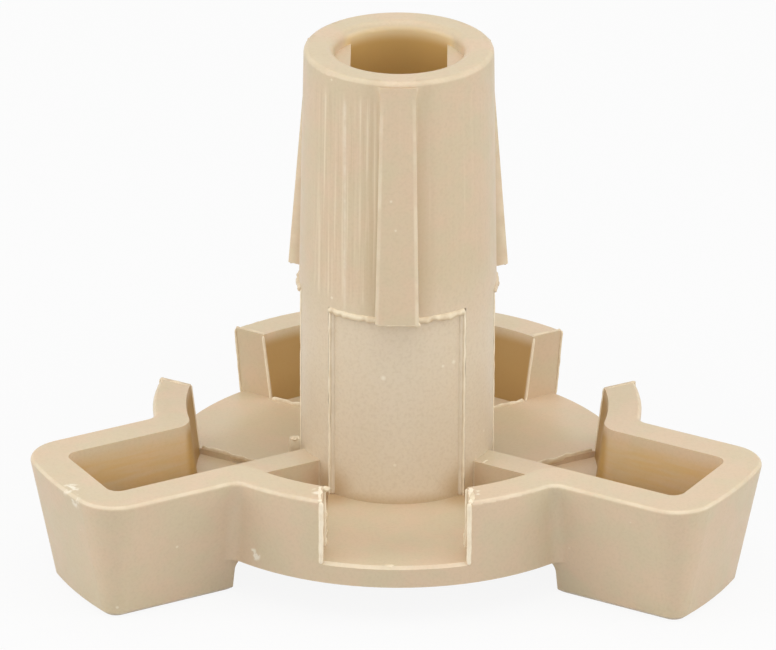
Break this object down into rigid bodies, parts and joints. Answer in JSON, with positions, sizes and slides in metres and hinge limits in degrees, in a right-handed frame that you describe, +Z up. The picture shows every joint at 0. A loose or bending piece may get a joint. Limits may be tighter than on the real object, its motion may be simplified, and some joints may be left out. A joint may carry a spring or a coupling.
{
  "type": "microwave turntable coupler",
  "caption": "One-piece moulded coupler that turns a microwave's glass tray: a tall keyed hub tube with a double-D spindle bore on a round plate with hollow radial arms.",
  "frame": {"origin": "on the hub axis, in the plane of the three feet", "axes": "+Z up the hub axis towards the mouth of the bore, one slide-core opening faces -Y, +X to the right"},
  "size_m": [0.0462, 0.0409, 0.033],
  "materials": {
    "beige_plastic": "satin moulded plastic, warm beige, with fine draw lines and pale flash at the mould joints"
  },
  "bodies": {
    "root": {"turntable_coupler": "beige_plastic"}
  },
  "joints": []
}
